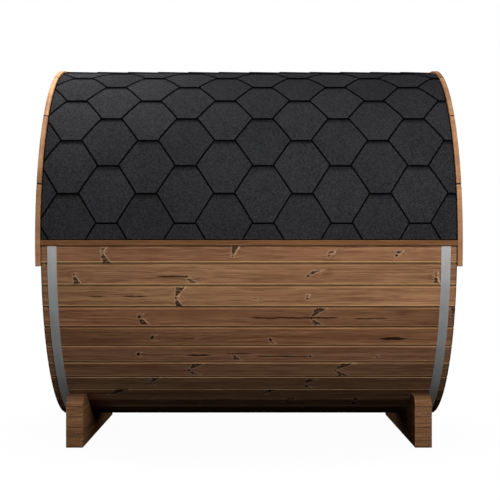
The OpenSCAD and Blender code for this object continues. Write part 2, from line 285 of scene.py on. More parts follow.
def known_boards(tree, along, across, number, boards):
    """Which boards are known, and their tone, the way to the nearest knot and its lean, its reach
    and its crack. They are kept as steps of colour ramps, with one row to a board."""
    rows, row_half, row_edge = len(boards), 1.15, 0.1
    # A ramp holds no negative values, so places are kept 2 higher and the eye 1 higher.
    place_spare, eye_spare = 2, 1
    row = put(tree, "Math", {0: -1.0, 1: number}, operation="SUBTRACT")
    row_share = put(tree, "MapRange", {"Value": along, "From Min": -row_half, "From Max": row_half})
    is_known = put(
        tree, "Math", {0: row, 1: (rows - 1) / 2, 2: rows / 2 - row_edge}, operation="COMPARE"
    )
    tone_steps, place_steps, reach_steps, crack_steps = [], [], [], []
    for k, (tone, rightward, knots) in enumerate(boards):
        tone_steps.append((k / rows, (*tone, 1 + rightward)))
        start = -row_half
        for at, up_at, lean, up, down, eye, *split in knots:
            left, right, thick = split or (0.0, 0.0, 0.0)
            if start > -row_half:
                start = (start + at - left) / 2
            step_at = (k + (start + row_half) / (2 * row_half)) / rows
            places = [size + place_spare for size in (at, up_at, lean)]
            place_steps.append((step_at, (*places, 1.0)))
            reach_steps.append((step_at, (up, down, eye + eye_spare, 1.0)))
            crack_steps.append((step_at, (left, right, thick, 1.0)))
            start = at + right
    found = []
    for steps, share in [
        (tone_steps, 0.5), (place_steps, row_share), (reach_steps, row_share), (crack_steps, row_share),
    ]:
        row_spot = put(tree, "Math", {0: row, 1: share}, operation="ADD")
        ramp = put(tree, "ValToRGB", {"Fac": put(tree, "Math", {0: row_spot, 1: rows}, operation="DIVIDE")})
        ramp.color_ramp.interpolation = "CONSTANT"
        elements = ramp.color_ramp.elements
        elements.remove(elements[1])
        for k, (step_at, values) in enumerate(steps):
            element = elements.new(step_at) if k else elements[0]
            element.position = step_at
            element.color = values
        found.append(ramp.outputs)
    tones, places, reaches, cracks = found
    rightward = put(tree, "Math", {0: tones["Alpha"], 1: 1.0}, operation="SUBTRACT")
    paler = put(tree, "Math", {0: rightward, 1: along, 2: 1.0}, operation="MULTIPLY_ADD")
    tone = put(tree, "VectorMath", {0: tones["Color"], "Scale": paler}, operation="SCALE")
    place = put(tree, "VectorMath", {0: places["Color"], 1: [place_spare] * 3}, operation="SUBTRACT")
    # The lean comes in twice, so that one is left when the place is taken off.
    lean = put(tree, "SeparateXYZ", {0: place}).outputs["Z"]
    lean_twice = put(tree, "Math", {0: lean, 1: 2.0}, operation="MULTIPLY")
    lean_spot = put(tree, "CombineXYZ", {0: along, 1: across, 2: lean_twice})
    off = put(tree, "VectorMath", {0: lean_spot, 1: place}, operation="SUBTRACT")
    reach = put(tree, "VectorMath", {0: reaches["Color"], 1: (0, 0, eye_spare)}, operation="SUBTRACT")
    return is_known, (tone, off, reach, cracks["Color"])


def knot_marks(tree, spot, off, reach, crack):
    """How strongly a knot's pale rim shows, its dark marks with their colours, and how far the
    grain is pushed aside by it. A knot is a black eye with wedges above and below it that lean
    one way, pale along their far side, and cracks along the grain."""
    knot_brown, knot_black, crack_brown = "#2a180f", "#2c180b", "#22140c"
    torn_along, torn_across = 0.022, 0.016
    wedge_thin, wedge_spread, lean_spread = 0.003, 0.24, 0.8
    eye_clear, sheen_off, round_room = 0.004, 0.0035, 0.006
    crack_point, crack_bend, crack_closed = 0.05, 0.012, -0.001
    # In a metre, a torn edge strays about 75 times, every 13 mm, and a crack 14 times.
    tears, sways = 75.0, 14.0
    ragged = put(tree, "TexNoise", {"Vector": spot, "Scale": tears, "Detail": 2.0})
    ragged_off = put(
        tree, "VectorMath", {0: ragged.outputs["Color"], 1: (0.5, 0.5, 0.5)}, operation="SUBTRACT"
    )
    off_torn = put(
        tree, "VectorMath", {0: ragged_off, 1: (torn_along, torn_across, 0.0), 2: off},
        operation="MULTIPLY_ADD",
    )
    torn = put(tree, "SeparateXYZ", {0: off_torn}).outputs
    up, down, eye = put(tree, "SeparateXYZ", {0: reach}).outputs
    rise = put(tree, "Math", {0: torn["Y"]}, operation="ABSOLUTE")
    upward = put(tree, "Math", {0: torn["Y"], 1: 0.0}, operation="GREATER_THAN")
    wedge_reach = put(tree, "Mix", {"Factor": upward, "A": down, "B": up})
    leaned = put(tree, "Math", {0: rise, 1: torn["Z"]}, operation="MULTIPLY")
    off_line = put(tree, "Math", {0: torn["X"], 1: leaned}, operation="SUBTRACT")
    off_wedge = put(tree, "Math", {0: off_line}, operation="ABSOLUTE")
    wedge_slim = put(tree, "Math", {0: rise, 1: wedge_spread, 2: wedge_thin}, operation="MULTIPLY_ADD")
    wedge_broad = put(tree, "Math", {0: torn["Z"], 1: lean_spread, 2: 1.0}, operation="MULTIPLY_ADD")
    wedge_half = put(tree, "Math", {0: wedge_slim, 1: wedge_broad}, operation="MULTIPLY")
    wedge_side = put(tree, "Math", {0: off_wedge, 1: wedge_half}, operation="SUBTRACT")
    wedge_end = put(tree, "Math", {0: rise, 1: wedge_reach}, operation="SUBTRACT")
    eye_room = put(tree, "Math", {0: eye, 1: eye_clear}, operation="ADD")
    wedge_start = put(tree, "Math", {0: eye_room, 1: rise}, operation="SUBTRACT")
    wedge_ends = put(tree, "Math", {0: wedge_end, 1: wedge_start}, operation="MAXIMUM")
    wedge_out = put(tree, "Math", {0: wedge_side, 1: wedge_ends}, operation="MAXIMUM")
    past_wedge = put(tree, "Math", {0: off_line, 1: wedge_half}, operation="SUBTRACT")
    past_sheen = put(tree, "Math", {0: past_wedge, 1: sheen_off}, operation="SUBTRACT")
    off_sheen = put(tree, "Math", {0: past_sheen}, operation="ABSOLUTE")
    sheen_out = put(tree, "Math", {0: off_sheen, 1: wedge_ends}, operation="MAXIMUM")
    flat_off = put(tree, "VectorMath", {0: off_torn, 1: (1, 1, 0)}, operation="MULTIPLY")
    distance = put(tree, "VectorMath", {0: flat_off}, operation="LENGTH").outputs["Value"]
    eye_out = put(tree, "Math", {0: distance, 1: eye}, operation="SUBTRACT")
    knot_out = put(tree, "Math", {0: wedge_out, 1: eye_out}, operation="MINIMUM")

    whole = put(tree, "SeparateXYZ", {0: off}).outputs
    left, right, thick = put(tree, "SeparateXYZ", {0: crack}).outputs
    onward = put(tree, "Math", {0: whole["X"], 1: 0.0}, operation="GREATER_THAN")
    crack_length = put(tree, "Mix", {"Factor": onward, "A": left, "B": right})
    crack_run = put(tree, "Math", {0: whole["X"]}, operation="ABSOLUTE")
    crack_left = put(tree, "Math", {0: crack_length, 1: crack_run}, operation="SUBTRACT")
    crack_half = put(tree, "MapRange", {
        "Value": crack_left, "From Max": crack_point, "To Min": crack_closed, "To Max": thick,
    })
    crack_sway = put(tree, "TexNoise", {"Vector": spot, "Scale": sways, "Detail": 1.0})
    crack_line = put(
        tree, "Math", {0: crack_sway, 1: crack_bend, 2: -crack_bend / 2}, operation="MULTIPLY_ADD"
    )
    past_crack = put(tree, "Math", {0: whole["Y"], 1: crack_line}, operation="ADD")
    off_crack = put(tree, "Math", {0: past_crack}, operation="ABSOLUTE")
    crack_out = put(tree, "Math", {0: off_crack, 1: crack_half}, operation="SUBTRACT")

    # Each mark fades out between two distances from its outline, and has its own full strength.
    fades = []
    for outside, gone, full, strength in [
        (wedge_out, 0.0015, -0.004, 1.0),
        (eye_out, 0.0015, -0.002, 1.0),
        (crack_out, 0.001, -0.001, 0.9),
        (sheen_out, 0.005, 0.001, 0.6),
        (knot_out, 0.010, 0.001, 0.2),
        (knot_out, 0.05, 0.0, 0.010),
    ]:
        fades.append(put(tree, "MapRange", {
            "Value": outside, "From Min": gone, "From Max": full, "To Max": strength,
        }, interpolation_type="SMOOTHSTEP"))
    wedge_dark, eye_dark, crack_dark, sheen_pale, rim_pale, push = fades
    wedge_torn = put(tree, "MapRange", {
        "Value": ragged, "From Min": 0.36, "From Max": 0.55, "To Min": 0.55, "To Max": 0.95,
    })
    wedge_share = put(tree, "Math", {0: wedge_dark, 1: wedge_torn}, operation="MULTIPLY")
    pale_share = put(tree, "Math", {0: rim_pale, 1: sheen_pale}, operation="MAXIMUM")
    round_rise = put(tree, "Math", {0: rise, 1: round_room}, operation="ADD")
    knot_side = put(tree, "Math", {0: torn["Y"], 1: round_rise}, operation="DIVIDE")
    pushed = put(tree, "Math", {0: push, 1: knot_side}, operation="MULTIPLY")
    marks = [(wedge_share, knot_brown), (crack_dark, crack_brown), (eye_dark, knot_black)]
    return pale_share, marks, pushed


def thermowood(
    name, place, early, late, flush, spread=0.3, whorl_gap=0.5, half=None,
    pith=(-0.05, 0.09), shade_and_stain=None, known=(), gloss=0.0,
):
    """Heat-treated pine: brown boards of differing tone, growth rings and fibres along the grain,
    and knots cut through at all angles, dark with a pale rim. place gives the grain's own
    directions, whorl_gap the room between knots, nought on clear boards, half is half a bevelled
    board's width, pith where the heart of the log may lie, damp how much it is darkened by stains,
    wear and painted shade, known the tones and knots of the boards from number -1 down, and gloss
    the sheen of the oil."""
    pale_rim, bare_edge, groove_dirt_and_shade = "#d8bd9e", "#cca776", "#1d110a"
    # Growth rings are some 3 mm apart and fibres much less, too fine for the render, so the rings
    # are drawn 8.5 mm apart and the bundles of fibres 5 mm.
    ring_gap, fibre_gap = 0.0085, 0.005
    # How often the grain wanders, and the rings and fibres change, along a metre of board.
    wanders, ring_runs, fibre_runs = 1.1, 0.8, 4.6
    wander_reach, grain_depth, fibre_share = 0.022, 0.0015, 1.2
    pith_near, pith_far = 0.02, 0.09
    paler_share = 0.4
    material, tree = bare_material(name)
    along, across, depth, number = place(tree)
    spot = put(tree, "CombineXYZ", {0: along, 1: across})
    board = put(tree, "TexWhiteNoise", {"W": number}, noise_dimensions="1D")
    luck = put(tree, "SeparateColor", {0: board.outputs["Color"]}).outputs
    tone = put(tree, "MapRange", {
        "Value": board.outputs["Value"], "To Min": 1 - spread, "To Max": 1 + spread * paler_share,
    })
    off, reach, crack = (9.0, 9.0, 0.0), (0.0, 0.0, -0.01), (0.0, 0.0, 0.0)
    if whorl_gap:
        off, reach, crack = chance_knots(tree, along, across, number, luck[0], whorl_gap)
    if known:
        is_known, by_board = known_boards(tree, along, across, number, known)
        chosen = []
        for chance, kept in zip((tone, off, reach, crack), by_board):
            choice = put(tree, "Mix", {"Factor": is_known, "A": chance, "B": kept}, data_type="VECTOR")
            chosen.append(choice.outputs["Result"])
        tone, off, reach, crack = chosen
    pale_share, marks, pushed = knot_marks(tree, spot, off, reach, crack)

    # Grain: rings round a pith below the board, bent by slow wander and pushed aside by knots.
    slow_spot = put(tree, "CombineXYZ", {0: along, 1: number})
    wander = put(tree, "TexNoise", {"Vector": slow_spot, "Scale": wanders, "Detail": 2.0})
    bent = put(tree, "Math", {0: wander, 1: wander_reach, 2: across}, operation="MULTIPLY_ADD")
    ring_across = put(tree, "Math", {0: bent, 1: pushed}, operation="SUBTRACT")
    pith_across = put(tree, "MapRange", {"Value": luck[1], "To Min": pith[0], "To Max": pith[1]})
    from_pith = put(tree, "Math", {0: ring_across, 1: pith_across}, operation="SUBTRACT")
    pith_depth = put(tree, "MapRange", {"Value": luck[2], "To Min": pith_near, "To Max": pith_far})
    below = put(tree, "Math", {0: pith_depth, 1: depth}, operation="SUBTRACT")
    pith_way = put(tree, "CombineXYZ", {0: from_pith, 1: below})
    ring = put(tree, "VectorMath", {0: pith_way}, operation="LENGTH").outputs["Value"]
    patterns = []
    for measure, gap, runs, apart, roughness in [
        (ring, ring_gap, ring_runs, 5.3, 0.6), (ring_across, fibre_gap, fibre_runs, 3.1, 0.7),
    ]:
        pattern_spot = put(tree, "CombineXYZ", {
            0: put(tree, "Math", {0: measure, 1: gap}, operation="DIVIDE"),
            1: put(tree, "Math", {0: along, 1: runs}, operation="MULTIPLY"),
            2: put(tree, "Math", {0: number, 1: apart}, operation="MULTIPLY"),
        })
        pattern = put(tree, "TexNoise", {
            "Vector": pattern_spot, "Scale": 1.0, "Detail": 3.0, "Roughness": roughness,
        })
        patterns.append((pattern_spot, pattern))
    (ring_spot, rings), (fibre_spot, fibres) = patterns
    grain = put(tree, "Math", {0: fibres, 1: fibre_share, 2: rings}, operation="MULTIPLY_ADD")
    late_share = put(tree, "MapRange", {"Value": grain, "From Min": 0.87, "From Max": 1.31})
    layers = [(late_share, late)]
    for pattern_spot, stretch, start, end, streak_colour in [
        (ring_spot, (0.3, 2.2, 1.0), 0.45, 0.75, flush), (fibre_spot, (0.8, 1.8, 7.0), 0.56, 0.68, late),
    ]:
        streak_spot = put(tree, "VectorMath", {0: pattern_spot, 1: stretch}, operation="MULTIPLY")
        streak = put(tree, "TexNoise", {"Vector": streak_spot, "Scale": 1.0, "Detail": 2.0})
        streak_share = put(tree, "MapRange", {
            "Value": streak, "From Min": start, "From Max": end, "To Max": 0.7,
        })
        layers.append((streak_share, streak_colour))
    layers.append((pale_share, pale_rim))

    if half:
        # Bevelled edges: bare where the plane ran off the board, most along the lower one, and
        # dirt down in the V, widened over the edges as a painted shade of the groove.
        bare_from, bare_whole = 0.0145, 0.0100
        bare_low, bare_high = 0.8, 0.12
        dirt_shade_before, dirt_shade_after = 0.001, 0.0006
        off_middle = put(tree, "Math", {0: across}, operation="ABSOLUTE")
        to_edge = put(tree, "Math", {0: half, 1: off_middle}, operation="SUBTRACT")
        bare_most = put(tree, "MapRange", {
            "Value": across, "From Min": half, "From Max": -half,
            "To Min": bare_high, "To Max": bare_low,
        })
        bare_share = put(tree, "MapRange", {
            "Value": to_edge, "From Min": bare_from, "From Max": bare_whole, "To Max": bare_most,
        })
        layers.append((bare_share, bare_edge))
        to_low = put(tree, "Math", {0: across, 1: half}, operation="ADD")
        to_high = put(tree, "Math", {0: half, 1: across}, operation="SUBTRACT")
        # Dirt in the V, spread wider than dirt lies, as a painted shade of the groove.
        for from_edge, dirt_shade_width, dirt_shade_most in [(to_low, 0.0066, 0.45), (to_high, 0.0046, 0.5)]:
            dirt_and_shade = put(tree, "MapRange", {
                "Value": from_edge, "From Min": dirt_shade_width + dirt_shade_before,
                "From Max": dirt_shade_width - dirt_shade_after, "To Max": dirt_shade_most,
            }, interpolation_type="SMOOTHSTEP")
            marks.append((dirt_and_shade, groove_dirt_and_shade))
    clean = layered(tree, linear(early), layers)
    colour = put(tree, "VectorMath", {0: clean, 1: tone}, operation="MULTIPLY")
    if shade_and_stain:
        colour = put(tree, "VectorMath", {0: colour, "Scale": shade_and_stain(tree)}, operation="SCALE")
    finish = put(tree, "BsdfPrincipled", {
        "Base Color": layered(tree, colour, marks),
        "Roughness": put(tree, "MapRange", {"Value": late_share, "To Min": 0.65, "To Max": 0.75}),
        "Specular IOR Level": gloss,
        "Normal": put(tree, "Bump", {"Strength": 0.3, "Distance": grain_depth, "Height": grain}),
    })
    put(tree, "OutputMaterial", {"Surface": finish})
    return material


# The front boards from the eave down: the tone of each, how much paler it gets in a metre to the
# right, and its knots from left to right. A knot has its place along and across, its lean, the
# reach of its wedges up and down and its eye, and, where it has a crack, the length of the crack
# to the left and right and half its width.
front_boards = [
    ((0.83, 0.78, 0.76), 0.0, [
        (-0.757, 0.001, 0.45, 0.022, 0.060, 0.003),
        (-0.085, -0.017, 0.30, 0.060, 0.000, 0.005),
        (0.409, -0.017, 0.75, 0.026, 0.000, 0.006),
        (0.758, -0.017, 0.75, 0.028, 0.000, 0.006),
    ]),
    ((0.80, 0.755, 0.725), 0.0, [
        (-0.902, 0.001, 0.30, 0.006, 0.050, 0.005),
        (-0.322, -0.009, 1.10, 0.000, 0.034, 0.007, 0.17, 0.02, 0.004),
        (0.304, -0.007, 1.60, 0.030, 0.000, 0.006),
        (0.963, -0.003, 0.10, 0.018, 0.042, 0.006),
    ]),
    ((0.92, 0.875, 0.825), 0.2, [
        (-0.784, 0.001, 0.00, 0.000, 0.000, -0.01, 0.06, 0.06, 0.003),
        (-0.587, 0.001, 0.00, 0.000, 0.000, -0.01, 0.09, 0.08, 0.003),
        (-0.380, -0.008, 0.45, 0.060, 0.050, 0.005),
        (0.039, -0.011, 0.00, 0.000, 0.000, -0.01, 0.05, 0.05, 0.002),
        (0.303, -0.012, 0.00, 0.022, 0.000, 0.006),
    ]),
    ((0.69, 0.60, 0.58), -0.17, [
        (-0.573, 0.004, 0.70, 0.016, 0.044, 0.009),
        (0.325, -0.003, 0.90, 0.056, 0.042, 0.006, 0.34, 0.16, 0.004),
        (0.650, -0.007, 0.00, 0.000, 0.000, -0.01, 0.13, 0.10, 0.003),
        (1.059, 0.009, 0.10, 0.050, 0.000, 0.006),
    ]),
    ((0.765, 0.68, 0.64), 0.24, [
        (-0.507, -0.005, 0.60, 0.018, 0.017, 0.009),
        (-0.276, -0.014, 0.00, 0.000, 0.000, -0.01, 0.11, 0.11, 0.002),
        (0.113, -0.020, 0.60, 0.000, 0.022, 0.010, 0.02, 0.02, 0.004),
        (0.742, -0.012, 0.00, 0.000, 0.000, 0.006, 0.07, 0.10, 0.009),
    ]),
    ((0.83, 0.755, 0.77), 0.07, [
        (-0.588, 0.000, 0.60, 0.014, 0.016, 0.009),
        (-0.262, -0.007, 0.00, 0.000, 0.000, -0.01, 0.09, 0.08, 0.006),
        (-0.087, 0.004, 0.60, 0.000, 0.045, 0.006, 0.06, 0.12, 0.003),
        (0.326, -0.015, 0.40, 0.000, 0.000, 0.007, 0.31, 0.00, 0.003),
        (0.679, -0.019, 0.30, 0.012, 0.000, 0.007),
    ]),
    ((0.82, 0.78, 0.765), 0.0, [
        (-0.325, -0.004, 1.10, 0.052, 0.036, 0.009),
        (0.462, -0.004, 1.20, 0.055, 0.046, 0.006),
    ]),
    ((0.755, 0.77, 0.80), 0.06, [
        (-0.535, -0.002, 0.60, 0.055, 0.020, 0.006),
        (0.300, -0.011, 0.80, 0.050, 0.030, 0.006),
    ]),
    ((0.85, 0.85, 0.85), 0.0, [
        (-0.766, -0.015, 1.10, 0.070, 0.000, 0.006),
        (0.078, 0.004, 1.20, 0.045, 0.012, 0.006),
    ]),
]
stave_wood = thermowood(
    "heat_treated_pine_staves", on_stave, "#a88261", "#724f39", "#8c654a",
    half=stave_width / 2, shade_and_stain=stave_painted_shade, known=front_boards,
)
dress(
    stave_wood,
    "staves_back_upper", "staves_back_top", "staves_top", "staves_front_top", "staves_front_upper",
    "staves_front", "staves_front_lower", "staves_bottom", "staves_back_lower", "staves_back",
)


# Cradles: five boards of the same pine stacked and glued, hollowed to the barrel's round.
# Their ends face the front, so the saw-cut end grain shows there, darker and blotched.
cradle_low, cradle_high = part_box("cradle_left")
cradle_layers = 5
cradle_board = (cradle_high.z - cradle_low.z) / cradle_layers


def on_cradle(tree):
    """Place along a cradle's board, across it and through it, and the board's number."""
    right_first = 40.0
    spot = piece_place(tree)
    count = put(tree, "Math", {0: spot["Z"], 1: cradle_board}, operation="DIVIDE")
    across, layer = in_board(tree, count, cradle_board)
    span = put(tree, "Math", {0: spot["X"]}, operation="ABSOLUTE")
    inward = put(tree, "Math", {0: span, 1: cradle_high.x}, operation="ADD")
    right = put(tree, "Math", {0: spot["X"], 1: 0.0}, operation="GREATER_THAN")
    number = put(tree, "Math", {0: right, 1: right_first, 2: layer}, operation="MULTIPLY_ADD")
    return spot["Y"], across, inward, number


def cradle_marks_and_shade(tree):
    """How dark a cradle is: a painted shade on its inner side under the barrel, paler towards the front,
    pores and saw marks on its ends, a dirty line where two boards meet, and darker along its foot."""
    # Pores and saw marks are some 2 mm apart, too fine for the render, so they are drawn wider.
    pore_gap, saw_gap, saw_runs = 0.005, 0.006, 8
    joint_half = 0.002
    shade_deepest_from, shade_clear_from = -0.3, -0.7
    foot_darkest_to, foot_dark_to = 0.004, 0.010
    joint_share = joint_half / cradle_board
    top_layer = cradle_layers - 1
    object_spot = put(tree, "TexCoord").outputs["Object"]
    spot = piece_place(tree)
    facing = put(tree, "SeparateXYZ", {0: put(tree, "NewGeometry").outputs["Normal"]}).outputs
    side = put(tree, "Math", {0: spot["X"]}, operation="SIGN")
    outside = put(tree, "Math", {0: facing["X"], 1: side}, operation="MULTIPLY")
    inside = put(tree, "MapRange", {"Value": outside, "From Max": -1.0})
    endways = put(tree, "Math", {0: facing["Y"]}, operation="ABSOLUTE")
    pores = put(tree, "TexNoise", {"Vector": object_spot, "Scale": 0.5 / pore_gap, "Detail": 3.0})
    saw_scale = (saw_runs, saw_runs, 0.5 / saw_gap)
    saw_spot = put(tree, "VectorMath", {0: object_spot, 1: saw_scale}, operation="MULTIPLY")
    saw_marks = put(tree, "TexNoise", {"Vector": saw_spot, "Scale": 1.0, "Detail": 2.0})
    rough = put(tree, "Math", {0: pores, 1: saw_marks}, operation="ADD")
    layers = put(tree, "Math", {0: spot["Z"], 1: cradle_board}, operation="DIVIDE")
    off_middle = put(tree, "Math", {0: in_board(tree, layers, 1.0)[0]}, operation="ABSOLUTE")
    ends = shaded(tree, [
        (rough, 0.75, 1.25, 0.68, 1.2),
        (off_middle, 0.5 - 1.5 * joint_share, 0.5 - joint_share, 1.0, 0.55),
        (layers, top_layer - 0.02, top_layer, 0.97, 1.22),
    ])
    faced = put(tree, "Mix", {"Factor": endways, "A": 0.8, "B": ends})
    # Painted shade: the inner side is darkened under the barrel, and paler towards its front end.
    shade_and_stain = shaded(tree, [(spot["Y"], shade_deepest_from, shade_clear_from, 0.3, 1.15)])
    sided = put(tree, "Mix", {"Factor": inside, "A": faced, "B": shade_and_stain})
    # Darker along the foot, up to 10 mm from the ground.
    foot = shaded(tree, [(spot["Z"], foot_darkest_to, foot_dark_to, 0.35, 1.0)])
    return put(tree, "Math", {0: sided, 1: foot}, operation="MULTIPLY")


cradle_wood = thermowood(
    "sawn_pine_cradle_boards", on_cradle, "#8d6747", "#6e4e36", "#785336",
    spread=0.2, whorl_gap=0.0, pith=(0.16, 0.3), shade_and_stain=cradle_marks_and_shade,
)
dress(cradle_wood, "cradle_left", "cradle_right")


# Steel bands: rolled strip, galvanised, drawn tight round the staves over the end walls.
# Zinc turns matt grey, with fine rolling marks along it; a painted shade darkens the bands towards the
# ground, and a painted highlight makes them paler from the axis up.
zinc_shade_top, zinc_shade_bottom = axis_z - 0.05, axis_z - 0.33
# Rolling marks are under 1 mm apart, too fine for the render, so they are drawn 6 mm apart. The
# clouds in the zinc are some 11 cm wide.
rolling_gap, rolling_runs, rolling_depth = 0.006, 1.5, 0.0005
zinc_cloud_count = 9.0
band_zinc, zinc = bare_material("galvanised_steel_strip")
zinc_spot = put(zinc, "TexCoord").outputs["Object"]
rolling_scale = (1 / rolling_gap, rolling_runs, rolling_runs)
zinc_rolled = put(zinc, "VectorMath", {0: zinc_spot, 1: rolling_scale}, operation="MULTIPLY")
zinc_marks = put(zinc, "TexNoise", {"Vector": zinc_rolled, "Scale": 1.0, "Detail": 3.0})
zinc_clouds = put(zinc, "TexNoise", {"Vector": zinc_spot, "Scale": zinc_cloud_count, "Detail": 4.0})
zinc_worn = put(zinc, "Math", {0: zinc_marks, 1: 0.5, 2: zinc_clouds}, operation="MULTIPLY_ADD")
zinc_share = put(zinc, "MapRange", {"Value": zinc_worn, "From Min": 0.5, "From Max": 1.0})
zinc_colour = layered(zinc, linear("#8f8f90"), [(zinc_share, "#a3a3a4")])
# Painted shade lower down on the band and painted highlight from the axis up.
zinc_painted_shade = shaded(zinc, [(piece_place(zinc)["Z"], zinc_shade_bottom, zinc_shade_top, 0.75, 1.07)])
zinc_finish = put(zinc, "BsdfPrincipled", {
    "Base Color": put(zinc, "VectorMath", {0: zinc_colour, "Scale": zinc_painted_shade}, operation="SCALE"),
    "Metallic": 0.1,
    "Specular IOR Level": 0.05,
    "Roughness": put(zinc, "MapRange", {"Value": zinc_worn, "To Min": 0.5, "To Max": 0.65}),
    "Normal": put(zinc, "Bump", {"Strength": 0.2, "Distance": rolling_depth, "Height": zinc_marks}),
})
put(zinc, "OutputMaterial", {"Surface": zinc_finish})
dress(band_zinc, "band_left", "band_right", "door_hinges")


# End walls and door leaf: upright planks of the same pine, tongued into the staves' groove
# or held by ledges behind them, with bevelled edges that make a V between two boards.
wall_low, wall_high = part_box("left_wall")
wall_boards = 17
wall_board = (wall_high.y - wall_low.y) / wall_boards
door_low, door_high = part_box("door_boards")
door_boards = 6
door_board = (door_high.y - door_low.y) / door_boards


def upright(tree, first_y, board_width, face_x):
    """Place along an upright board, across it and through it, and the board's number."""
    spot = piece_place(tree)
    from_first = put(tree, "Math", {0: spot["Y"], 1: first_y}, operation="SUBTRACT")
    count = put(tree, "Math", {0: from_first, 1: board_width}, operation="DIVIDE")
    across, number = in_board(tree, count, board_width)
    span = put(tree, "Math", {0: spot["X"]}, operation="ABSOLUTE")
    depth = put(tree, "Math", {0: face_x, 1: span}, operation="SUBTRACT")
    return spot["Z"], across, depth, number


wall_wood = thermowood(
    "heat_treated_pine_wall_boards",
    lambda tree: upright(tree, wall_low.y, wall_board, -wall_low.x),
    "#a88261", "#724f39", "#8c654a", half=wall_board / 2,
)
door_wood = thermowood(
    "heat_treated_pine_door_boards",
    lambda tree: upright(tree, door_low.y, door_board, door_high.x),
    "#a88261", "#74513b", "#8e674c", half=door_board / 2,
)
dress(
    wall_wood,
    "left_wall", "right_wall_front", "right_wall_back", "right_wall_over_door", "right_wall_under_door",
)
dress(door_wood, "door_boards")


# Trims, eave battens, door frame, ledges and handle: planed strips of paler pine.
# The trims are sawn to the round in boards that meet end to end over the staves' ends.
trim_board_angle = math.radians(24.375)
trim_start_angle = math.radians(-7.5)
trim_outer = 1.02
trim_gap = 0.007
door_middle = (door_low.z + door_high.z) / 2
door_half = (door_high.z - door_low.z) / 2


def round_trim(tree):
    """A point's place, its distance from the barrel's axis and its count in trim boards."""
    spot = piece_place(tree)
    out = put(tree, "Math", {0: spot["Y"]}, operation="ABSOLUTE")
    turn, reach = about_axis(tree, spot["Z"], out)
    turned = put(tree, "Math", {0: turn, 1: trim_start_angle}, operation="SUBTRACT")
    return spot, reach, put(tree, "Math", {0: turned, 1: trim_board_angle}, operation="DIVIDE")


def on_trim(tree):
    """Place along a trim board, across it and through it, and the board's number."""
    # The boards were bent a little before they were sawn, so the grain half follows the round.
    grain_follows = 0.6
    spot, reach, count = round_trim(tree)
    along, board = in_board(tree, count, trim_board_angle)
    grain_turn = put(tree, "Math", {0: along, 1: grain_follows}, operation="MULTIPLY")
    grain_level = put(tree, "Math", {0: grain_turn}, operation="COSINE")
    chord = put(tree, "Math", {0: reach, 1: grain_level}, operation="MULTIPLY")
    across = put(tree, "Math", {0: chord, 1: trim_outer}, operation="SUBTRACT")
    number = board
    for axis, apart in (("X", 30.0), ("Y", 60.0)):
        side = put(tree, "Math", {0: spot[axis], 1: 0.0}, operation="GREATER_THAN")
        number = put(tree, "Math", {0: side, 1: apart, 2: number}, operation="MULTIPLY_ADD")
    return along, across, spot["X"], number


def trim_ends(tree):
    """How dark a trim board is by its ends: end grain drinks the oil, the upper arris is worn."""
    gap_half, oiled_to = trim_gap / 2, 0.013
    worn_to, bare_from = 0.009, 0.011
    grain_to, face_from = gap_half + 0.0004, gap_half + 0.0008
    board_length = trim_board_angle * trim_outer
    share = put(tree, "Math", {0: round_trim(tree)[-1]}, operation="FRACT")
    from_low = put(tree, "Math", {0: share, 1: board_length}, operation="MULTIPLY")
    from_high = put(tree, "Math", {0: board_length, 1: from_low}, operation="SUBTRACT")
    from_end = put(tree, "Math", {0: from_low, 1: from_high}, operation="MINIMUM")
    return shaded(tree, [
        (from_low, gap_half, oiled_to, 0.75, 1.0),
        (from_high, worn_to, bare_from, 1.3, 1.0),
        (from_end, grain_to, face_from, 0.1, 1.0),
    ])


def on_batten(tree):
    """Place along a batten, across it and through it, and which of the two it is."""
    spot = piece_place(tree)
    across = put(tree, "Math", {0: spot["Z"], 1: axis_z}, operation="SUBTRACT")
    depth = put(tree, "Math", {0: spot["Y"]}, operation="ABSOLUTE")
    behind = put(tree, "Math", {0: spot["Y"], 1: 0.0}, operation="GREATER_THAN")
    return spot["X"], across, depth, behind


def on_strip(tree, along_axis, across_axis, depth_axis):
    """Place on a straight strip whose grain runs along one of the axes."""
    strips_in_metre = 5.0
    spot = piece_place(tree)
    count = put(tree, "Math", {0: spot[across_axis], 1: strips_in_metre}, operation="MULTIPLY")
    number = put(tree, "Math", {0: count}, operation="ROUND")
    return spot[along_axis], spot[across_axis], spot[depth_axis], number


def on_door_frame(tree):
    """Place on the door frame: grain upright in its posts, and level in its head and sill."""
    spot = piece_place(tree)
    height = put(tree, "Math", {0: spot["Z"], 1: door_middle}, operation="SUBTRACT")
    off_middle = put(tree, "Math", {0: height}, operation="ABSOLUTE")
    level = put(tree, "Math", {0: off_middle, 1: door_half}, operation="GREATER_THAN")
    along = put(tree, "Mix", {"Factor": level, "A": spot["Z"], "B": spot["Y"]})
    across = put(tree, "Mix", {"Factor": level, "A": spot["Y"], "B": height})
    side = put(tree, "Math", {0: across, 1: 0.0}, operation="GREATER_THAN")
    number = put(tree, "Math", {0: level, 1: 2.0, 2: side}, operation="MULTIPLY_ADD")
    return along, across, spot["X"], number


